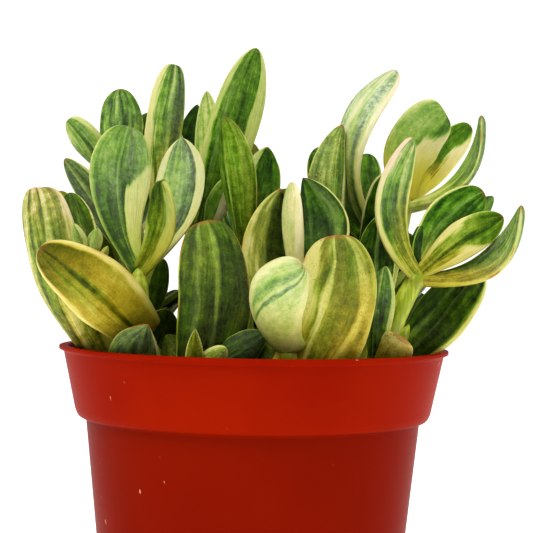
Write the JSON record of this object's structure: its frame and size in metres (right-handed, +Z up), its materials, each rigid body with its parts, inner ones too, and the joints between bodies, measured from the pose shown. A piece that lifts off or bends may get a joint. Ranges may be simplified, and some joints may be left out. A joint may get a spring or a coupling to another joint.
{
  "type": "potted variegated jade plant",
  "caption": "Variegated jade plant with thick green and cream striped leaves in a round terracotta-red plastic nursery pot.",
  "frame": {"origin": "centre of the pot's flat base, on the surface that it stands on", "axes": "+Z up along the pot's axis, -Y toward the front of the plant, +X to its right"},
  "size_m": [0.1276, 0.111, 0.1723],
  "materials": {
    "pot_plastic": "glossy moulded plastic, faint scuffs",
    "soil": "rough dark potting soil",
    "leaf": "waxy fleshy leaf, green and cream stripes"
  },
  "bodies": {
    "root": {"pot": "pot_plastic", "soil": "soil", "leafy_stem_left": "leaf", "leafy_stem_far_left": "leaf", "leafy_stem_back_left": "leaf", "leafy_stem_tall": "leaf", "leafy_stem_front_middle": "leaf", "leafy_stem_centre": "leaf", "leafy_stem_middle_right": "leaf", "leafy_stem_front_right": "leaf", "leafy_stem_back_right": "leaf", "leafy_stem_right_high": "leaf", "leafy_stem_right_front": "leaf", "leafy_stem_right_low": "leaf", "leafy_stem_rear_left": "leaf", "leafy_stem_rear_middle": "leaf", "leafy_stem_rear_right": "leaf"}
  },
  "joints": []
}
